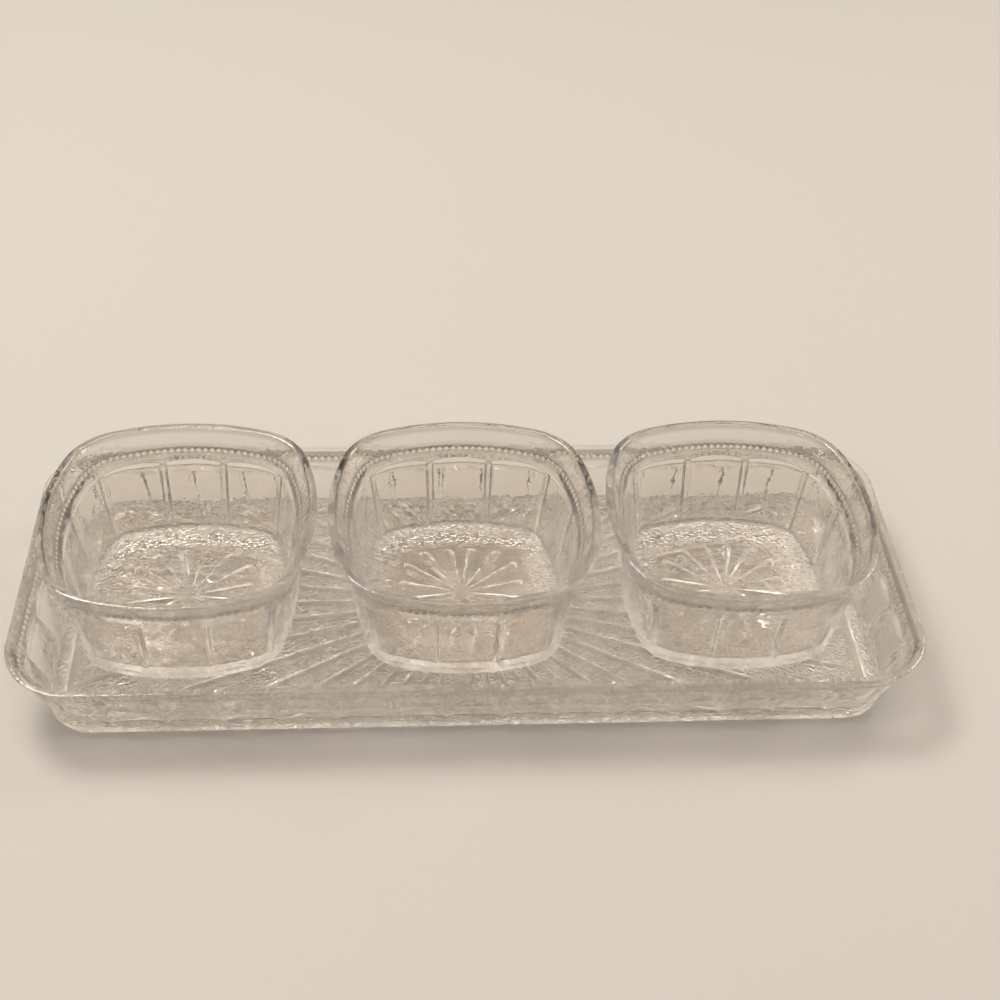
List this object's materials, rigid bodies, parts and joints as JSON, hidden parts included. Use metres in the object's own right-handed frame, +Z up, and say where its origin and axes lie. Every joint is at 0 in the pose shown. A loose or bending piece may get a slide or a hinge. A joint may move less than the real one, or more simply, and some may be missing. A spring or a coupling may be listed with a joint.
{
  "type": "relish tray",
  "caption": "Long low pressed-glass tray with rounded corners, fluted sides and a sunburst base, carrying square glass dishes that lift out.",
  "frame": {"origin": "middle of the tray's underside, on the plane that the tray stands on", "axes": "+X along the tray to the right, +Y across it to the back, +Z up out of the dishes"},
  "size_m": [0.34, 0.136, 0.0549],
  "materials": {
    "tray_glass": "clear pressed glass with a stippled floor",
    "dish_glass": "clear pressed glass, fire polished"
  },
  "bodies": {
    "tray": {"tray": "tray_glass"},
    "dish_left": {"dish_left": "dish_glass"},
    "dish_center": {"dish_center": "dish_glass"},
    "dish_right": {"dish_right": "dish_glass"}
  },
  "joints": [
    {"name": "dish_left_lift", "type": "slide", "parent": "tray", "child": "dish_left", "axis": [0, 0, 1], "range_m": [0, 0.08]},
    {"name": "dish_center_lift", "type": "slide", "parent": "tray", "child": "dish_center", "axis": [0, 0, 1], "range_m": [0, 0.08]},
    {"name": "dish_right_lift", "type": "slide", "parent": "tray", "child": "dish_right", "axis": [0, 0, 1], "range_m": [0, 0.08]}
  ]
}
